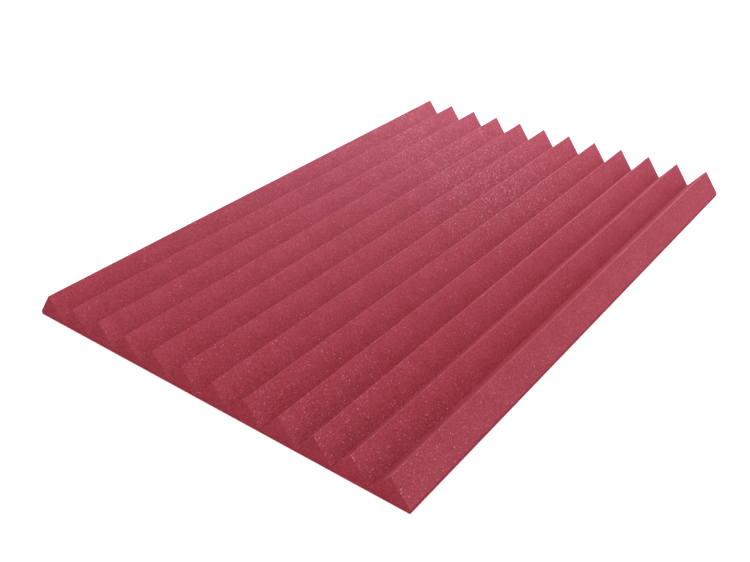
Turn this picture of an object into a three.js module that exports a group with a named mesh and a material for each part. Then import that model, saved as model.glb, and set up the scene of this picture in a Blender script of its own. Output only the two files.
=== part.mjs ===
// Wedge foam panel: one slab of open-cell foam, cut into straight parallel wedges for walls and ceilings.
// Millimetres, +Z up. The panel lies on its flat back, centred on the origin, and the wedges run along Y.
import * as THREE from "three";

// Driving sizes
const wedgePitch = 50.8; // from crest to crest, across the panel
const wedgeCount = 12;
const panelLength = 914.4; // along the wedges
const panelThickness = 38.1; // from the flat back to the crests
const webThickness = 5.8; // foam left between the back and the bottom of the valleys
const crestRadius = 0.7; // the blade leaves the crests barely blunted
const rootRadius = 0.9; // and turns round in the bottom of a valley

// Facets on each half of a crest or root arc
const arcFacets = 3;

const burgundyFoam = new THREE.MeshStandardMaterial({
  name: "burgundy_foam",
  color: new THREE.Color(0.43, 0.078, 0.115),
  roughness: 0.95,
  metalness: 0,
});

// Slope of the flanks, which touch the crest arc above and the root arc below
function flankAngle() {
  const run = wedgePitch / 2;
  const rise = panelThickness - crestRadius - (webThickness + rootRadius);
  const lean = Math.asin((crestRadius + rootRadius) / Math.hypot(run, rise));
  return Math.atan2(rise, run) + lean;
}

// Cross-section, anticlockwise: along the back, up the right edge, then over the wedges from right to left
function wedgeProfile() {
  const halfWidth = (wedgeCount * wedgePitch) / 2;
  const slope = flankAngle();
  const crestCentre = panelThickness - crestRadius;
  const rootCentre = webThickness + rootRadius;
  const up = Math.PI / 2;
  const down = -Math.PI / 2;

  const outline = new THREE.Shape();
  outline.moveTo(-halfWidth, 0);
  outline.lineTo(halfWidth, 0);
  outline.lineTo(halfWidth, webThickness);
  for (let wedge = 0; wedge < wedgeCount; wedge++) {
    const rightValley = halfWidth - wedge * wedgePitch;
    const crest = rightValley - wedgePitch / 2;
    const leftValley = rightValley - wedgePitch;
    outline.absarc(rightValley, rootCentre, rootRadius, down, down - slope, true);
    outline.absarc(crest, crestCentre, crestRadius, up - slope, up + slope, false);
    outline.absarc(leftValley, rootCentre, rootRadius, down + slope, down, true);
  }
  outline.closePath();
  return outline;
}

// The whole panel is one piece: the profile drawn along the wedges and cut square at both ends
function foamPanel() {
  const geometry = new THREE.ExtrudeGeometry(wedgeProfile(), {
    depth: panelLength,
    bevelEnabled: false,
    curveSegments: arcFacets,
  });
  const panel = new THREE.Mesh(geometry, burgundyFoam);
  panel.name = "foam_panel";
  panel.rotation.x = Math.PI / 2;
  panel.position.y = panelLength / 2;
  return panel;
}

const group = new THREE.Group();
group.add(foamPanel());

export default group;
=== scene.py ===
"""Wedge foam panel: a slab of burgundy open-cell foam with straight parallel wedges, on a white floor.

The file is laid out as an add-on. Run as a script, it adds the panel and the studio, in metres, round
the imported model. The defaults of the panel's sizes come from that model.
"""

import math

import bpy
import numpy as np
from mathutils import Euler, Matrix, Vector, noise


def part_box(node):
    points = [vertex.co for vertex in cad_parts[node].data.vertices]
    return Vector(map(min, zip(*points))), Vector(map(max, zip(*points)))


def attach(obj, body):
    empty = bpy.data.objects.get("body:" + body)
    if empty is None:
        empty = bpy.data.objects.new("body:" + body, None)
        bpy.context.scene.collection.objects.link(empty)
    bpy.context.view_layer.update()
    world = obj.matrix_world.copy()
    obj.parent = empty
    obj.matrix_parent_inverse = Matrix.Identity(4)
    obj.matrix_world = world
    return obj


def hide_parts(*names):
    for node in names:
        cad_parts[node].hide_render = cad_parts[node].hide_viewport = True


bl_info = {
    "name": "Wedge Foam Panel",
    "version": (1, 0, 0),
    "blender": (4, 5, 0),
    "location": "3D View > Sidebar > Foam Panel",
    "description": "Adds a wedge-cut acoustic foam panel and a white studio to show it in",
    "category": "Add Mesh",
}

MM = 0.001
# Less than any real step between the solid's heights
HAIR = 0.01 * MM

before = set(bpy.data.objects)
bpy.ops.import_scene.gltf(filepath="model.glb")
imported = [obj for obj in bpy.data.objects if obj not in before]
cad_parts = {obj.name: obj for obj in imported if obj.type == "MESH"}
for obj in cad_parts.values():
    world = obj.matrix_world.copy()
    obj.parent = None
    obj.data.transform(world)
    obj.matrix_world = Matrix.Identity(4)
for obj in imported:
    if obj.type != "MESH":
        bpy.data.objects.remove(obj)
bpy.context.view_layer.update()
SOLID = "foam_panel"
LOW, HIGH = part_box(SOLID)


def solid_corners():
    """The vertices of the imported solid, one row each."""
    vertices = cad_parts[SOLID].data.vertices
    flat = np.zeros(len(vertices) * 3, np.float32)
    vertices.foreach_get("co", flat)
    return flat.reshape(-1, 3)


def solid_wedge_count():
    """The number of crests of the solid. Each has one line of vertices at the very top."""
    corners = solid_corners()
    top = corners[corners[:, 2] > HIGH.z - HAIR]
    decimals = 4
    return len(np.unique(np.round(top[:, 0], decimals)))


def solid_web():
    """Height of the bottom of the solid's valleys, which is its lowest line over the flat back."""
    heights = solid_corners()[:, 2]
    return float(heights[heights > LOW.z + HAIR].min())


# What a user would change


class FoamShape(bpy.types.PropertyGroup):
    """Sizes of the foam slab."""

    width: bpy.props.FloatProperty(
        name="Width",
        description="Across the wedges",
        default=HIGH.x - LOW.x,
        min=0.05,
        unit="LENGTH",
    )
    length: bpy.props.FloatProperty(
        name="Length",
        description="Along the wedges",
        default=HIGH.y - LOW.y,
        min=0.05,
        unit="LENGTH",
    )
    thickness: bpy.props.FloatProperty(
        name="Thickness",
        description="From the flat back to the crests",
        default=HIGH.z - LOW.z,
        min=0.005,
        unit="LENGTH",
    )
    web: bpy.props.FloatProperty(
        name="Web",
        description="Foam left under the valleys",
        default=solid_web(),
        min=1 * MM,
        unit="LENGTH",
    )
    wedges: bpy.props.IntProperty(
        name="Wedges",
        description="Number of wedges across the panel",
        default=solid_wedge_count(),
        min=1,
    )
    crest_radius: bpy.props.FloatProperty(
        name="Crest radius",
        description="How blunt the saw leaves the crests",
        default=0.7 * MM,
        min=0.6 * MM,
        unit="LENGTH",
    )
    root_radius: bpy.props.FloatProperty(
        name="Root radius",
        description="How tightly the saw turns in a valley",
        default=0.9 * MM,
        min=0.1 * MM,
        unit="LENGTH",
    )
    corner_radius: bpy.props.FloatProperty(
        name="Corner radius",
        description="How round the long edges of the web are",
        default=0.25 * MM,
        min=0.2 * MM,
        unit="LENGTH",
    )
    edge_wear: bpy.props.FloatProperty(
        name="Edge wear",
        description="How far the edges of the sawn ends are worn round",
        default=0.15 * MM,
        min=0.05 * MM,
        max=0.18 * MM,
        unit="LENGTH",
    )
    grid: bpy.props.FloatProperty(
        name="Grid",
        description="Spacing of the mesh on the wedges",
        default=4.6 * MM,
        min=1 * MM,
        unit="LENGTH",
    )
    saw_drift: bpy.props.FloatProperty(
        name="Saw drift",
        description="How far the saw strays from straight",
        default=0.12 * MM,
        min=0,
        unit="LENGTH",
    )
    tearing: bpy.props.FloatProperty(
        name="Tearing",
        description="How unevenly the saw tears the cells open",
        default=0.1 * MM,
        min=0,
        unit="LENGTH",
    )


class FoamFinish(bpy.types.PropertyGroup):
    """Colour and cells of the foam."""

    colour: bpy.props.FloatVectorProperty(
        name="Foam",
        description="Dyed foam",
        subtype="COLOR",
        min=0,
        max=1,
        default=(0.457, 0.067, 0.1015),
    )
    # Painted light: foam is painted this paler colour towards the far left corner, where the light falls
    # brightest
    lit_pale: bpy.props.FloatVectorProperty(
        name="Pale foam",
        description="Foam where the dye has paled most",
        subtype="COLOR",
        min=0,
        max=1,
        default=(0.463, 0.110, 0.160),
    )
    # Painted shade: the sawn ends, edges and back get this deeper red for their shade
    deep: bpy.props.FloatVectorProperty(
        name="Deep foam",
        description="Foam on the sawn ends and edges, which light has not reached",
        subtype="COLOR",
        min=0,
        max=1,
        default=(0.458, 0.054, 0.084),
    )
    # Painted shade: this darker colour is laid at the bottom of the valleys by the far right corner and
    # under the crests of left-facing flanks by the near right one
    torn: bpy.props.FloatVectorProperty(
        name="Torn foam",
        description="Foam where the saw has torn the cells deepest, as at the bottom of the valleys",
        subtype="COLOR",
        min=0,
        max=1,
        default=(0.36, 0.050, 0.080),
    )
    # Painted shade on flanks that face left by the far right corner
    flank_shade: bpy.props.FloatVectorProperty(
        name="Dull foam",
        description="Foam that the saw has left duller, on flanks that face left at the far right",
        subtype="COLOR",
        min=0,
        max=1,
        default=(0.36, 0.078, 0.112),
    )
    glint: bpy.props.FloatVectorProperty(
        name="Glints",
        description="Whole cell skins that catch the light",
        subtype="COLOR",
        min=0,
        max=1,
        default=(0.68, 0.345, 0.435),
    )
    faint_glint: bpy.props.FloatVectorProperty(
        name="Faint glints",
        description="Struts and scraps of skin that catch it less",
        subtype="COLOR",
        min=0,
        max=1,
        default=(0.82, 0.27, 0.39),
    )
    cell: bpy.props.FloatProperty(
        name="Cell size",
        description="Width of one cell of the foam",
        default=1.1 * MM,
        min=0.2 * MM,
        unit="LENGTH",
    )
    glint_spacing: bpy.props.FloatProperty(
        name="Glint spacing",
        description="Distance between the places where a glint may lie",
        default=2.4 * MM,
        min=0.5 * MM,
        unit="LENGTH",
    )
    glint_share: bpy.props.FloatProperty(
        name="Glint share",
        description="Share of those places that have one",
        subtype="FACTOR",
        default=0.09,
        min=0,
        max=1,
    )


class FoamStudio(bpy.types.PropertyGroup):
    """Floor and light round the panel."""

    floor: bpy.props.FloatVectorProperty(
        name="Floor",
        description="Colour of the floor",
        subtype="COLOR",
        min=0,
        max=1,
        default=(0.55, 0.55, 0.55),
    )
    floor_lift: bpy.props.FloatProperty(
        name="Floor lift",
        description="White that the camera sees on top of the lit floor",
        default=0.72,
        min=0,
    )
    sky: bpy.props.FloatProperty(
        name="Sky",
        description="Strength of the even light from all round",
        default=0.782,
        min=0,
    )


# Mesh of the slab


def wedge_pitch(shape):
    """Distance from one crest to the next."""
    return shape.width / shape.wedges


def flank_slope(shape):
    """Angle of the flanks, which touch the crest arc above and the root arc below."""
    run = wedge_pitch(shape) / 2
    rise = shape.thickness - shape.crest_radius - shape.web - shape.root_radius
    turn_into_arcs = math.asin((shape.crest_radius + shape.root_radius) / math.hypot(run, rise))
    return math.atan2(rise, run) + turn_into_arcs


def arc(centre, radius, start, end, steps):
    """Points on an arc, as x, z, normal x and normal z.

    A negative radius makes the arc hollow, with its normals inwards.
    """
    points = []
    for step in range(steps + 1):
        angle = start + (end - start) * step / steps
        across, up = math.cos(angle), math.sin(angle)
        points.append((centre[0] + abs(radius) * across, centre[1] + abs(radius) * up, across, up))
    if radius < 0:
        points = [(x, z, -across, -up) for x, z, across, up in points]
    return points


def even_steps(length, spacing):
    """How many steps of about the spacing fill the length. There are two at least."""
    return max(2, round(length / spacing))


def flank(foot, head, spacing):
    """The points between the ends of a flank, evenly spaced."""
    steps = even_steps(math.dist(foot[:2], head[:2]), spacing)
    points = []
    for step in range(1, steps):
        share = step / steps
        x = foot[0] + (head[0] - foot[0]) * share
        z = foot[1] + (head[1] - foot[1]) * share
        points.append((x, z, foot[2], foot[3]))
    return points


def wedge_section(shape):
    """One wedge, from the middle of a root arc at x = 0 over the crest to the middle of the next one."""
    pitch = wedge_pitch(shape)
    slope = flank_slope(shape)
    arc_steps = 3
    right_angle = math.pi / 2
    root_z = shape.web + shape.root_radius
    crest = arc(
        (pitch / 2, shape.thickness - shape.crest_radius),
        shape.crest_radius,
        right_angle + slope,
        right_angle - slope,
        2 * arc_steps,
    )
    left_root = arc((0, root_z), -shape.root_radius, -right_angle, slope - right_angle, arc_steps)
    right_root = arc((pitch, root_z), -shape.root_radius, -right_angle - slope, -right_angle, arc_steps)
    rising = flank(left_root[-1], crest[0], shape.grid)
    falling = flank(crest[-1], right_root[0], shape.grid)
    return left_root + rising + crest + falling + right_root


def slab_section(shape):
    """The slab's outline, as an array of x, z, normal x and normal z.

    It runs from the lower left corner over the wedges to the lower right one and back underneath. With
    it go the places in it where the wedges' faces start and end, and those of the points at the valleys,
    above and underneath.
    """
    half = shape.width / 2
    corner = shape.corner_radius
    right_angle = math.pi / 2
    corner_steps = 2
    left_edge = arc((-half + corner, corner), corner, -right_angle, -math.pi, corner_steps)
    left_edge += arc((-half + corner, shape.web - corner), corner, math.pi, right_angle, corner_steps)
    right_edge = [(-x, z, -across, up) for x, z, across, up in reversed(left_edge)]

    wedge = wedge_section(shape)
    pitch = wedge_pitch(shape)
    wedges = []
    for number in range(shape.wedges):
        start = -half + number * pitch
        wedges += [(start + x, z, across, up) for x, z, across, up in wedge[:-1]]
    wedges = [point for point in wedges if abs(point[0]) < half - corner]

    valleys = [-half + number * pitch for number in range(1, shape.wedges)]
    underneath = [(x, 0, 0, -1) for x in reversed(valleys)]
    outline = np.array(left_edge + wedges + right_edge + underneath)
    first = len(left_edge) - 1
    last = first + len(wedges)
    tops = [first + int(np.argmin(np.abs(outline[first:last, 0] - x))) for x in valleys]
    bottoms = [len(outline) - 1 - number for number in range(len(valleys))]
    return outline, (first, last), list(zip(tops, bottoms))


def rows_along(shape):
    """Where the rows of the mesh lie along the wedges, and how far the worn ends draw each one in."""
    end = shape.length / 2
    wear = shape.edge_wear
    # The worn edge is a quarter of a circle, with a row at each of these angles
    worn = []
    for degrees in (0, 30, 60):
        turn = math.radians(degrees)
        worn.append((-end + wear * (1 - math.cos(turn)), wear * (1 - math.sin(turn))))
    straight = shape.length - 2 * wear
    steps = even_steps(straight, shape.grid)
    rows = [(-end + wear + straight * step / steps, 0) for step in range(steps + 1)]
    return worn + rows + [(-y, inset) for y, inset in reversed(worn)]


def strayed(place):
    """How far the saw has strayed at a place, from 0 to 1. It changes slowly along the wedges."""
    wave_sizes = (0.021, 0.16, 0.06)
    return 0.5 + 0.5 * noise.noise(Vector([way / size for way, size in zip(place, wave_sizes)]))


def torn_depth(place):
    """How deep the saw has torn the cells at a place, to both sides of a half."""
    size, roughness, refinement, layers = 0.011, 0.6, 2.0, 2
    swing = 0.3
    return 0.5 + swing * noise.fractal(Vector(place) / size, roughness, refinement, layers)


def uneven(places, normals, shape):
    """The places moved in along their normals, as far as the saw strayed and tore the cells.

    The flat back stays where it is.
    """
    moved = places.copy()
    for index, (place, normal) in enumerate(zip(places, normals)):
        if normal[2] < 0:
            continue
        depth = shape.saw_drift * strayed(place) + shape.tearing * torn_depth(place)
        moved[index] -= normal * depth
    return moved


def end_faces(count, valleys):
    """The faces of a sawn end, one for each wedge, as places in the outline and in its direction."""
    faces = []
    start_top, start_bottom = 0, count
    for top, bottom in valleys:
        faces.append([*range(start_top, top + 1), *range(bottom, start_bottom)])
        start_top, start_bottom = top, bottom + 1
    faces.append([*range(start_top, start_bottom)])
    return faces


def slab_mesh(shape):
    """A closed skin round the whole slab. Its second material is on the sawn ends, edges and back."""
    outline, (first, last), valleys = slab_section(shape)
    x, z, normal_x, normal_z = outline.T
    rows = rows_along(shape)
    count = len(outline)
    places = []
    for y, inset in rows:
        places.append(np.column_stack([x - inset * normal_x, np.full(count, y), z - inset * normal_z]))
    normals = np.column_stack([normal_x, np.zeros(count), normal_z])
    places = uneven(np.concatenate(places), np.tile(normals, (len(rows), 1)), shape)

    faces = []
    sawn = []
    for row in range(len(rows) - 1):
        near, far = row * count, (row + 1) * count
        for point in range(count):
            after = (point + 1) % count
            faces.append((near + point, near + after, far + after, far + point))
            sawn.append(0 if first <= point < last else 1)
    far_end = (len(rows) - 1) * count
    for face in end_faces(count, valleys):
        faces.append(face[::-1])
        faces.append([far_end + point for point in face])
        sawn += [1, 1]

    mesh = bpy.data.meshes.new("burgundy_foam_slab")
    mesh.from_pydata(places.tolist(), [], faces)
    mesh.polygons.foreach_set("material_index", sawn)
    mesh.polygons.foreach_set("use_smooth", [True] * len(faces))
    mesh.update()
    return mesh


# Shader nodes


def feed(tree, socket, value):
    """Links an output socket to an input one, or sets the input's own value."""
    if isinstance(value, bpy.types.NodeSocket):
        tree.links.new(value, socket)
    else:
        socket.default_value = value


def add_node(tree, kind, inputs=None, **settings):
    """A new node with its settings and inputs."""
    made = tree.nodes.new(kind)
    for name, value in settings.items():
        setattr(made, name, value)
    for name, value in (inputs or {}).items():
        feed(tree, made.inputs[name], value)
    return made


def calculate(tree, operation, *values):
    """The result of a Math node."""
    return add_node(tree, "ShaderNodeMath", dict(enumerate(values)), operation=operation).outputs[0]


def calculate_vector(tree, operation, *values):
    """The vector that a Vector Math node gives."""
    made = add_node(tree, "ShaderNodeVectorMath", dict(enumerate(values)), operation=operation)
    return made.outputs["Vector"]


def product(tree, *values):
    """All the values multiplied."""
    result = values[0]
    for value in values[1:]:
        result = calculate(tree, "MULTIPLY", result, value)
    return result


def raised(tree, value, share, amount):
    """The value, raised by a share of the amount."""
    return calculate(tree, "MULTIPLY_ADD", share, amount, value)


def opposite(tree, share):
    """What is left of 1."""
    return calculate(tree, "SUBTRACT", 1.0, share)


def spread(tree, value, low, high, to_low=0.0, to_high=1.0):
    """A smooth step of a value from one range to another."""
    inputs = {"Value": value, "From Min": low, "From Max": high, "To Min": to_low, "To Max": to_high}
    made = add_node(tree, "ShaderNodeMapRange", inputs, interpolation_type="SMOOTHSTEP")
    return made.outputs["Result"]


def fade(tree, value, full, gone):
    """1 up to the first value and 0 from the second one on."""
    return spread(tree, value, full, gone, 1.0, 0.0)


def mix_colours(tree, share, first, second):
    """The second colour over the first, by the share."""
    made = add_node(tree, "ShaderNodeMix", {0: share, 6: first, 7: second}, data_type="RGBA")
    return made.outputs[2]


def coordinate(tree, place, axis):
    """One coordinate of a place, which the name of its axis gives."""
    return add_node(tree, "ShaderNodeSeparateXYZ", {"Vector": place}).outputs[axis]


def closeness(tree, place, centre, full, reach):
    """1 up to the full distance from a centre on the panel and 0 past its reach.

    Across the wedges it falls off faster.
    """
    across_scale = (1.25, 1, 1)
    away = calculate_vector(tree, "SUBTRACT", place, centre)
    away = calculate_vector(tree, "MULTIPLY", away, across_scale)
    distance = add_node(tree, "ShaderNodeVectorMath", {0: away}, operation="LENGTH").outputs["Value"]
    return fade(tree, distance, full, reach)


def cloudy(tree, place, size, detail):
    """A soft pattern by chance, round a half, with clouds of about the size."""
    inputs = {"Vector": place, "Scale": 1 / size, "Detail": detail}
    return add_node(tree, "ShaderNodeTexNoise", inputs).outputs["Fac"]


def scattered(tree, place, spacing):
    """What a texture of scattered points gives, such as the distance to the nearest one."""
    inputs = {"Vector": place, "Scale": calculate(tree, "DIVIDE", 1.0, spacing)}
    return add_node(tree, "ShaderNodeTexVoronoi", inputs, feature="F1").outputs


def chances(tree, points):
    """Three numbers from 0 to 1 that each of the scattered points has by chance."""
    return add_node(tree, "ShaderNodeSeparateColor", {"Color": points["Color"]}).outputs


def new_group(name, inputs, outputs):
    """A node group with named sockets. With it go what its inputs give and the place on the part."""
    group = bpy.data.node_groups.new(name, "ShaderNodeTree")
    for way, sockets in (("INPUT", inputs), ("OUTPUT", outputs)):
        for socket_name, kind in sockets.items():
            group.interface.new_socket(socket_name, in_out=way, socket_type=kind)
    given = add_node(group, "NodeGroupInput").outputs
    place = add_node(group, "ShaderNodeTexCoord").outputs["Object"]
    return group, given, place


# Foam materials

COLOUR = "NodeSocketColor"
NUMBER = "NodeSocketFloat"


def cell_tone(group, given, place, cells, strut):
    """How light the foam is.

    Pits are deep, most cells are alike and a few are much paler. Clumps of cells and clouds of dye stray
    to both sides.
    """
    tone = raised(group, opposite(group, given["Pit shade"]), strut, given["Pit shade"])
    usual_cell, gain_of_palest, rarity = 0.938, 0.29, 4.0
    pale_by_chance = calculate(group, "POWER", chances(group, cells)[0], rarity)
    cell = raised(group, usual_cell, pale_by_chance, gain_of_palest)

    clump_width, deepest_clump, palest_clump = 2.0, 0.95, 1.05
    clumps = scattered(group, place, product(group, given["Cell size"], clump_width))
    clump = spread(group, chances(group, clumps)[0], 0.0, 1.0, deepest_clump, palest_clump)

    cloud_size, cloud_detail = 0.035, 3.0
    thin, thick = 0.3, 0.7
    deepest_cloud, palest_cloud = 0.97, 1.03
    clouds = cloudy(group, place, cloud_size, cloud_detail)
    cloud = spread(group, clouds, thin, thick, deepest_cloud, palest_cloud)
    return product(group, tone, cell, clump, cloud)


def cell_glints(group, given, place):
    """How bright the glint at a place is, or 0. Strong glints are larger and fewer of them are faint."""
    strength = given["Glint strength"]
    spots = scattered(group, place, given["Glint spacing"])
    chance = chances(group, spots)
    chosen = calculate(group, "LESS_THAN", chance[0], given["Glint share"])

    smallest, usual_largest, growth = 0.15, 0.42, 0.15
    largest = raised(group, usual_largest, strength, growth)
    size = spread(group, chance[1], 0.0, 1.0, smallest, largest)
    soft_rim = 0.5
    inside = opposite(group, calculate(group, "DIVIDE", spots["Distance"], size))
    disc = spread(group, inside, 0.0, soft_rim)

    usual_faintness, faintness_change = 2.6, -1.7
    faintness = raised(group, usual_faintness, strength, faintness_change)
    brightness = calculate(group, "POWER", chance[2], faintness)
    return product(group, chosen, disc, brightness)


def cut_cells_group():
    """Node group of foam cells that a saw has cut open, in the part's own coordinates.

    The cells are pits between struts and differ in tone, and here and there a skin glints. Faint
    glints are pink and strong ones whiter.
    """
    inputs = {
        "Foam": COLOUR,
        "Glint": COLOUR,
        "Faint glint": COLOUR,
        "Cell size": NUMBER,
        "Pit shade": NUMBER,
        "Glint spacing": NUMBER,
        "Glint share": NUMBER,
        "Glint strength": NUMBER,
    }
    group, given, place = new_group("cut_cells", inputs, {"Color": COLOUR, "Height": NUMBER})
    cells = scattered(group, place, given["Cell size"])
    pit_up_to, strut_from = 0.12, 0.62
    strut = spread(group, cells["Distance"], pit_up_to, strut_from)
    tone = cell_tone(group, given, place, cells, strut)
    # Thin struts are pinker than the depth of a pit, so green and blue change twice as much as red
    deeper = product(group, tone, tone)
    tint = add_node(group, "ShaderNodeCombineColor", {0: tone, 1: deeper, 2: deeper}).outputs[0]
    foam = calculate_vector(group, "MULTIPLY", given["Foam"], tint)

    glinting = cell_glints(group, given, place)
    pink_up_to, white_from = 0.4, 1.1
    whiteness = spread(group, given["Glint strength"], pink_up_to, white_from)
    skins = mix_colours(group, whiteness, given["Faint glint"], given["Glint"])

    result = add_node(group, "NodeGroupOutput").inputs
    feed(group, result["Color"], mix_colours(group, glinting, foam, skins))
    feed(group, result["Height"], calculate(group, "ADD", strut, glinting))
    return group


# The sides and the ends of the panel, as ways from its middle
LEFT, RIGHT = -1, 1
NEAR, FAR = -1, 1


def panel_corner(shape, side, end):
    """A corner of the panel, by its side and its end."""
    return (side * shape.width / 2, end * shape.length / 2, 0)


def painted_light_paling_group(shape):
    """Node group of painted light: foam paler towards the far left corner, in the part's own
    coordinates.
    """
    inputs = {"Foam": COLOUR, "Pale foam": COLOUR}
    group, given, place = new_group("painted_light_paling", inputs, {"Color": COLOUR})
    reach = 1.11
    paled = closeness(group, place, panel_corner(shape, LEFT, FAR), 0.0, reach)
    result = add_node(group, "NodeGroupOutput").inputs
    feed(group, result["Color"], mix_colours(group, paled, given["Foam"], given["Pale foam"]))
    return group


def foam_material(name, groups, finish, colours, pit_shade, glint_share, relief):
    """Dull foam with cut cells, in its own colour and in one painted paler where light falls brightest.
    """
    light_paling_group, cells_group = groups
    fresh, paled = [(*colour, 1) for colour in colours]
    material = bpy.data.materials.new(name)
    material.use_nodes = True
    material.diffuse_color = fresh
    tree = material.node_tree
    light_paling_inputs = {"Foam": fresh, "Pale foam": paled}
    # This node paints the foam paler towards the far left corner, where the light falls brightest
    dye = add_node(tree, "ShaderNodeGroup", light_paling_inputs, node_tree=light_paling_group, name="painted_light_paling")
    cell_inputs = {
        "Foam": dye.outputs["Color"],
        "Glint": (*finish.glint, 1),
        "Faint glint": (*finish.faint_glint, 1),
        "Cell size": finish.cell,
        "Pit shade": pit_shade,
        "Glint spacing": finish.glint_spacing,
        "Glint share": glint_share,
        "Glint strength": 0.0,
    }
    cells = add_node(tree, "ShaderNodeGroup", cell_inputs, node_tree=cells_group, name="cut_cells")
    height = cells.outputs["Height"]

    gloss = 0.05
    pit_roughness, strut_roughness = 0.98, 0.85
    bump_strength = 0.6
    surface = tree.nodes["Principled BSDF"]
    feed(tree, surface.inputs["Base Color"], cells.outputs["Color"])
    roughness = spread(tree, height, 0.0, 1.0, pit_roughness, strut_roughness)
    feed(tree, surface.inputs["Roughness"], roughness)
    surface.inputs["Specular IOR Level"].default_value = gloss
    bump_inputs = {"Height": height, "Strength": bump_strength, "Distance": relief}
    feed(tree, surface.inputs["Normal"], add_node(tree, "ShaderNodeBump", bump_inputs).outputs["Normal"])
    return material


# Patches with more painted glints, and a last one with fewer. Each has its middle, its reach, and
# what it adds to the share of glints, to their strength and to the shade of the pits between them.
GLINT_PATCHES = (
    ((0.01, 0.25, 0), 0.35, 0.7, 1.1, 0.12),
    ((0.19, -0.47, 0), 0.38, 0.9, 0.45, -0.01),
    ((-0.28, 0.32, 0), 0.36, 0.42, 0.9, -0.02),
    ((-0.25, 0.0, 0), 0.6, 0.23, 0.2, 0.0),
    ((-0.05, -0.45, 0), 0.35, 0.1, 0.0, 0.0),
    ((0.13, 0.0, 0), 0.3, 0.22, 0.2, 0.03),
    ((0.19, 0.37, 0), 0.27, -0.08, 0.0, -0.06),
)
WEDGE_PIT_SHADE = 0.14
WEDGE_GLINT_STRENGTH = 0.1

# Where masks on the left side of a wedge fade out, as shares of the way across it. The crest is at
# a half.
FLANK_FADE = (0.46, 0.5)
CREST_FADE = (0.5, 0.53)


def crest_and_rim(tree, place, shape):
    """Where more painted glints go: on the crests, and along both sawn ends, where it comes and goes."""
    crest_from, crest_full = shape.thickness - 1.0 * MM, shape.thickness - 0.1 * MM
    crest = spread(tree, coordinate(tree, place, "Z"), crest_from, crest_full)
    end = shape.length / 2
    rim_from, rim_full = end - 4.0 * MM, end - 0.5 * MM
    rim = spread(tree, calculate(tree, "ABSOLUTE", coordinate(tree, place, "Y")), rim_from, rim_full)
    # Along the sawn ends the painted glints come and go in stretches
    stretch_size, stretch_detail = 0.006, 2.0
    sound, worn = 0.35, 0.65
    stretches = spread(tree, cloudy(tree, place, stretch_size, stretch_detail), sound, worn)
    return calculate(tree, "MAXIMUM", crest, product(tree, rim, stretches))


def outermost_flank(tree, place, shape):
    """1 on the last flank on the right. It fades out over the last crest."""
    edge = shape.width / 2
    fade_pitches, full_pitches = 0.8, 0.4
    pitch = wedge_pitch(shape)
    across = coordinate(tree, place, "X")
    return spread(tree, across, edge - fade_pitches * pitch, edge - full_pitches * pitch)


def left_of_crest(tree, place, shape, full, gone):
    """1 on the left side of each wedge. It fades out between two shares of the way across."""
    from_edge = calculate(tree, "SUBTRACT", coordinate(tree, place, "X"), -shape.width / 2)
    wedges_across = calculate(tree, "DIVIDE", from_edge, wedge_pitch(shape))
    return fade(tree, calculate(tree, "FRACT", wedges_across), full, gone)


def spread_glints(tree, cells, place, shape, finish):
    """Gives the wedges more painted glints on the crests and along the sawn ends, in the patches
    and on the outermost flank.

    In the patches and on that flank the pits differ in shade too.
    """
    crest_and_rim_glints, outermost_glints, outermost_shade = 0.3, 0.2, 0.05
    share = raised(tree, finish.glint_share, crest_and_rim(tree, place, shape), crest_and_rim_glints)
    strength = WEDGE_GLINT_STRENGTH
    shade = WEDGE_PIT_SHADE
    for middle, reach, more_glints, more_strength, more_shade in GLINT_PATCHES:
        near_middle = closeness(tree, place, middle, 0.0, reach)
        share = raised(tree, share, near_middle, more_glints)
        strength = raised(tree, strength, near_middle, more_strength)
        shade = raised(tree, shade, near_middle, more_shade)
    outermost = outermost_flank(tree, place, shape)
    feed(tree, cells.inputs["Glint share"], raised(tree, share, outermost, outermost_glints))
    feed(tree, cells.inputs["Glint strength"], strength)
    feed(tree, cells.inputs["Pit shade"], raised(tree, shade, outermost, outermost_shade))


def painted_shade(tree, place, shape):
    """How far painted shade darkens the foam.

    It lies at the bottom of the valleys towards the far right corner, and by the near right
    corner on flanks that face left, under their crests.
    """
    height = coordinate(tree, place, "Z")
    valley_share, valley_reach = 0.4, 0.72
    full_up_to, gone_from = shape.web + 2 * MM, shape.web + 9 * MM
    low_down = fade(tree, height, full_up_to, gone_from)
    past_valleys = outermost_flank(tree, place, shape)
    far_right = closeness(tree, place, panel_corner(shape, RIGHT, FAR), 0.0, valley_reach)
    valleys = product(tree, low_down, opposite(tree, past_valleys), far_right, valley_share)

    flank_share, flank_reach = 0.75, 0.4
    flanks = left_of_crest(tree, place, shape, *FLANK_FADE)
    full_up_to, gone_from = shape.web + 12 * MM, shape.thickness - 4 * MM
    under_crest = fade(tree, height, full_up_to, gone_from)
    near_right = closeness(tree, place, panel_corner(shape, RIGHT, NEAR), 0.0, flank_reach)
    return raised(tree, valleys, product(tree, flanks, under_crest, near_right), flank_share)


def painted_flank_shade(tree, place, shape):
    """How far painted shade darkens flanks that face left by the far right corner."""
    share, full_up_to, reach = 0.5, 0.1, 0.42
    flanks = left_of_crest(tree, place, shape, *FLANK_FADE)
    far_right = closeness(tree, place, panel_corner(shape, RIGHT, FAR), full_up_to, reach)
    return product(tree, flanks, far_right, share)


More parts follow.
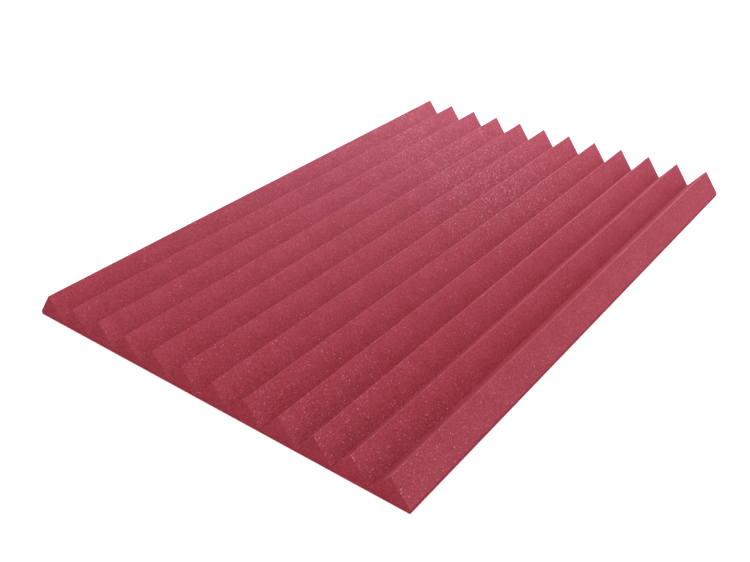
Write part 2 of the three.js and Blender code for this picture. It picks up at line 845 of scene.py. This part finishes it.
def painted_highlights(tree, place, shape):
    """How far the left sides of the crests are painted paler, as a painted highlight, most towards
    the far right corner.

    The outermost flank is painted a trace paler too, as painted light from the side.
    """
    crest_share, reach, flank_share = 0.2, 1.05, 0.022
    pale_from, pale_full = shape.thickness - 4 * MM, shape.thickness - 1 * MM
    near_top = spread(tree, coordinate(tree, place, "Z"), pale_from, pale_full)
    up_to_crest = left_of_crest(tree, place, shape, *CREST_FADE)
    far_right = closeness(tree, place, panel_corner(shape, RIGHT, FAR), 0.0, reach)
    crests = product(tree, near_top, up_to_crest, far_right, crest_share)
    return raised(tree, crests, outermost_flank(tree, place, shape), flank_share)


def wedge_material(groups, shape, finish):
    """The wedges' faces, which the contour saw cut.

    They have painted glints in patches, on the crests and along the sawn ends, painted shade in the
    valleys and on flanks that face left, and painted highlights on the crests.
    """
    colours = (finish.colour, finish.lit_pale)
    relief = 0.4 * MM
    material = foam_material(
        "wedge_cut_foam", groups, finish, colours, WEDGE_PIT_SHADE, finish.glint_share, relief
    )
    tree = material.node_tree
    cells = tree.nodes["cut_cells"]
    place = add_node(tree, "ShaderNodeTexCoord").outputs["Object"]
    spread_glints(tree, cells, place, shape, finish)
    foam = cells.outputs["Color"]
    # Painted shade in the valleys and on flanks that face left, then painted highlights on the crests
    for share, colour in (
        (painted_shade(tree, place, shape), finish.torn),
        (painted_flank_shade(tree, place, shape), finish.flank_shade),
        (painted_highlights(tree, place, shape), finish.glint),
    ):
        foam = mix_colours(tree, share, foam, (*colour, 1))
    feed(tree, tree.nodes["Principled BSDF"].inputs["Base Color"], foam)
    return material


def sawn_material(groups, finish):
    """The ends, edges and back, which a straight blade cut cleanly, with fewer glints.

    Their deeper red is painted shade, and they are painted paler towards the far left corner, where
    the light falls brightest, as the wedges are.
    """
    # The sawn faces are painted paler towards the far left corner too, where the light falls brightest
    paled = [deep * lit_pale / foam for deep, lit_pale, foam in zip(finish.deep, finish.lit_pale, finish.colour)]
    colours = (finish.deep, paled)
    pit_shade = 0.16
    share_left = 0.2
    glint_share = share_left * finish.glint_share
    relief = 0.3 * MM
    return foam_material("straight_sawn_foam", groups, finish, colours, pit_shade, glint_share, relief)


# Studio

CAMERA_PLACE = Vector((0.65040, -0.99235, 0.67167))
CAMERA_TURNS = Euler((math.radians(55.868), math.radians(0.049), math.radians(37.227)), "XYZ")
CAMERA_LENS = 42.475
CAMERA_SENSOR = 36
CAMERA_SHIFT = (0.01742, 0.05053)

# Name, place, width and power of each soft lamp. All of them face the middle of the panel.
LAMPS = (
    ("back_lamp", Vector((0, 0.92, 0.92)), 0.9, 10.2),
    ("right_fill", Vector((2.25, 0, 0.82)), 0.9, 2.2),
    ("front_fill", Vector((0, -2.25, 0.82)), 0.9, 3.1),
)


def add_camera():
    """The camera at the height and turn of the product picture, with its framing."""
    lens = bpy.data.cameras.new("camera")
    lens.sensor_width = CAMERA_SENSOR
    lens.lens = CAMERA_LENS
    lens.shift_x, lens.shift_y = CAMERA_SHIFT
    camera = bpy.data.objects.new("camera", lens)
    camera.location = CAMERA_PLACE
    camera.rotation_euler = CAMERA_TURNS
    bpy.context.collection.objects.link(camera)
    bpy.context.scene.camera = camera
    return camera


def add_lamp(name, place, width, power):
    """A square soft lamp that faces the middle of the panel."""
    light = bpy.data.lights.new(name, "AREA")
    light.shape = "SQUARE"
    light.size = width
    light.energy = power
    lamp = bpy.data.objects.new(name, light)
    lamp.location = place
    lamp.rotation_euler = (-place).to_track_quat("-Z", "Y").to_euler()
    bpy.context.collection.objects.link(lamp)
    return lamp


def seen_directly(tree):
    """1 for rays that show the background as it is: from the camera, or by way of gloss or glass."""
    path = add_node(tree, "ShaderNodeLightPath").outputs
    glossy_or_clear = calculate(tree, "MAXIMUM", path["Is Glossy Ray"], path["Is Transmission Ray"])
    return calculate(tree, "MAXIMUM", path["Is Camera Ray"], glossy_or_clear)


def light_world(world, sky):
    """Even light from all round, which looks plain white itself."""
    world.use_nodes = True
    tree = world.node_tree
    tree.nodes.clear()
    even = add_node(tree, "ShaderNodeBackground", {"Color": (1, 1, 1, 1), "Strength": sky})
    white = add_node(tree, "ShaderNodeBackground", {"Color": (1, 1, 1, 1), "Strength": 1.0})
    mixed = add_node(
        tree, "ShaderNodeMixShader", {0: seen_directly(tree), 1: even.outputs[0], 2: white.outputs[0]}
    )
    output = add_node(tree, "ShaderNodeOutputWorld")
    feed(tree, output.inputs["Surface"], mixed.outputs[0])


def floor_material(studio):
    """Pale matt floor that keeps the panel's shadow, and that the camera sees whiter than it is lit."""
    material = bpy.data.materials.new("white_floor")
    material.use_nodes = True
    tree = material.node_tree
    tree.nodes.clear()
    matt = add_node(tree, "ShaderNodeBsdfDiffuse", {"Color": (*studio.floor, 1)})
    lift = calculate(tree, "MULTIPLY", seen_directly(tree), studio.floor_lift)
    glow = add_node(tree, "ShaderNodeEmission", {"Color": (1, 1, 1, 1), "Strength": lift})
    both = add_node(tree, "ShaderNodeAddShader", {0: matt.outputs[0], 1: glow.outputs[0]})
    output = add_node(tree, "ShaderNodeOutputMaterial")
    feed(tree, output.inputs["Surface"], both.outputs[0])
    return material


def add_floor(studio):
    """A wide plane just under the panel."""
    reach = 8.0
    below = -0.1 * MM
    mesh = bpy.data.meshes.new("floor")
    corners = [
        (-reach, -reach, below),
        (reach, -reach, below),
        (reach, reach, below),
        (-reach, reach, below),
    ]
    mesh.from_pydata(corners, [], [(0, 1, 2, 3)])
    mesh.materials.append(floor_material(studio))
    floor = bpy.data.objects.new("floor", mesh)
    bpy.context.collection.objects.link(floor)
    return floor


# Operators


class FOAM_OT_add_panel(bpy.types.Operator):
    """Add the wedge foam panel"""

    bl_idname = "foam.add_panel"
    bl_label = "Add Foam Panel"

    def execute(self, context):
        shape = context.scene.foam_shape
        finish = context.scene.foam_finish
        mesh = slab_mesh(shape)
        groups = (painted_light_paling_group(shape), cut_cells_group())
        mesh.materials.append(wedge_material(groups, shape, finish))
        mesh.materials.append(sawn_material(groups, finish))
        panel = bpy.data.objects.new("burgundy_foam_slab", mesh)
        context.collection.objects.link(panel)
        even_shading = panel.modifiers.new("even_shading", "WEIGHTED_NORMAL")
        even_shading.mode = "FACE_AREA"
        # Over 50 the large faces count for more
        even_shading.weight = 90
        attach(panel, "root")
        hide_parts(SOLID)
        return {"FINISHED"}


class FOAM_OT_add_studio(bpy.types.Operator):
    """Add the floor, the lamps and the camera"""

    bl_idname = "foam.add_studio"
    bl_label = "Add Studio"

    def execute(self, context):
        studio = context.scene.foam_studio
        add_camera()
        add_floor(studio)
        for name, place, width, power in LAMPS:
            add_lamp(name, place, width, power)
        world = bpy.data.worlds.new("even_light")
        light_world(world, studio.sky)
        context.scene.world = world
        context.scene.view_settings.view_transform = "Standard"
        return {"FINISHED"}


class FOAM_PT_sidebar(bpy.types.Panel):
    """Sizes, finish and studio of the foam panel"""

    bl_label = "Foam Panel"
    bl_idname = "FOAM_PT_sidebar"
    bl_space_type = "VIEW_3D"
    bl_region_type = "UI"
    bl_category = "Foam Panel"

    def draw(self, context):
        scene = context.scene
        parts = (
            (scene.foam_shape, FOAM_OT_add_panel),
            (scene.foam_finish, None),
            (scene.foam_studio, FOAM_OT_add_studio),
        )
        for group, operator in parts:
            box = self.layout.box()
            for name in group.__annotations__:
                box.prop(group, name)
            if operator:
                box.operator(operator.bl_idname)


CLASSES = (FoamShape, FoamFinish, FoamStudio, FOAM_OT_add_panel, FOAM_OT_add_studio, FOAM_PT_sidebar)


def register():
    for new_class in CLASSES:
        bpy.utils.register_class(new_class)
    bpy.types.Scene.foam_shape = bpy.props.PointerProperty(type=FoamShape)
    bpy.types.Scene.foam_finish = bpy.props.PointerProperty(type=FoamFinish)
    bpy.types.Scene.foam_studio = bpy.props.PointerProperty(type=FoamStudio)


def unregister():
    del bpy.types.Scene.foam_studio
    del bpy.types.Scene.foam_finish
    del bpy.types.Scene.foam_shape
    for old_class in reversed(CLASSES):
        bpy.utils.unregister_class(old_class)


def main():
    register()
    bpy.ops.foam.add_panel()
    bpy.ops.foam.add_studio()


if __name__ == "__main__":
    main()
